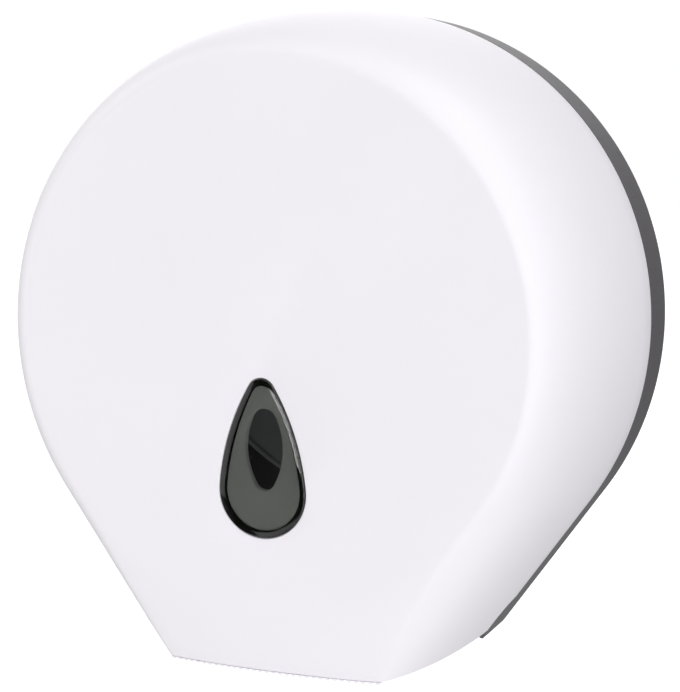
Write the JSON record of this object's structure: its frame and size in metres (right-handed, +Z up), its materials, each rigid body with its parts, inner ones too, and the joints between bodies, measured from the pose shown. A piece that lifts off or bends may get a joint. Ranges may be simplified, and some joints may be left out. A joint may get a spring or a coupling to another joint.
{
  "type": "jumbo toilet roll dispenser",
  "caption": "Round wall dispenser for large toilet rolls: back plate with turning spindle, white cover hinged at the bottom with a smoked drop-shaped window, toothed tear edge and a key lock.",
  "frame": {"origin": "on the wall plane, at the centre of the round part, which is also the spindle axis", "axes": "+Z up, +Y into the wall, so the front faces -Y; +X to the right as seen from the front"},
  "size_m": [0.27, 0.1314, 0.2804],
  "materials": {
    "white_abs": "satin moulded ABS",
    "grey_abs": "fine matt moulded ABS",
    "light_grey_abs": "matt moulded ABS",
    "acetal": "smooth acetal",
    "smoked_lens": "glossy smoked, see-through acrylic",
    "seal": "matt foam rubber",
    "friction_pad": "matt friction ring",
    "zinc_steel": "zinc plated",
    "spring_steel": "drawn wire",
    "lock_metal": "plated zinc casting"
  },
  "bodies": {
    "wall_unit": {"back_plate": "grey_abs", "spindle_post": "grey_abs", "spindle_screws": "zinc_steel", "brake_spring": "spring_steel", "brake_washer": "friction_pad", "spindle_cap": "grey_abs", "cap_screw": "zinc_steel", "lock_keeper": "zinc_steel", "keeper_screws": "zinc_steel", "hinge_pins": "zinc_steel"},
    "roll_spindle": {"spindle_sleeve": "light_grey_abs", "core_adaptor": "light_grey_abs", "roll_disc": "light_grey_abs", "disc_screws": "zinc_steel"},
    "cover": {"cover_shell": "white_abs", "window_lens": "smoked_lens", "window_gasket": "seal", "lens_clips": "spring_steel", "tear_strip": "white_abs", "tear_strip_pins": "zinc_steel", "hinge_bushes": "acetal", "lock_housing": "grey_abs", "lock_nut": "zinc_steel"},
    "lock": {"lock_barrel": "lock_metal", "lock_cam": "lock_metal", "cam_washer": "zinc_steel", "cam_screw": "zinc_steel"}
  },
  "joints": [
    {"name": "cover_hinge", "type": "hinge", "parent": "wall_unit", "child": "cover", "pos_m": [0, -0.027, -0.136], "axis": [1, 0, 0], "range_deg": [0, 90]},
    {"name": "spindle_spin", "type": "hinge", "parent": "wall_unit", "child": "roll_spindle", "pos_m": [0, -0.06, 0], "axis": [0, -1, 0], "continuous": true},
    {"name": "lock_turn", "type": "hinge", "parent": "cover", "child": "lock", "pos_m": [0, -0.044, 0.12], "axis": [0, 0, 1], "range_deg": [0, 90]}
  ]
}
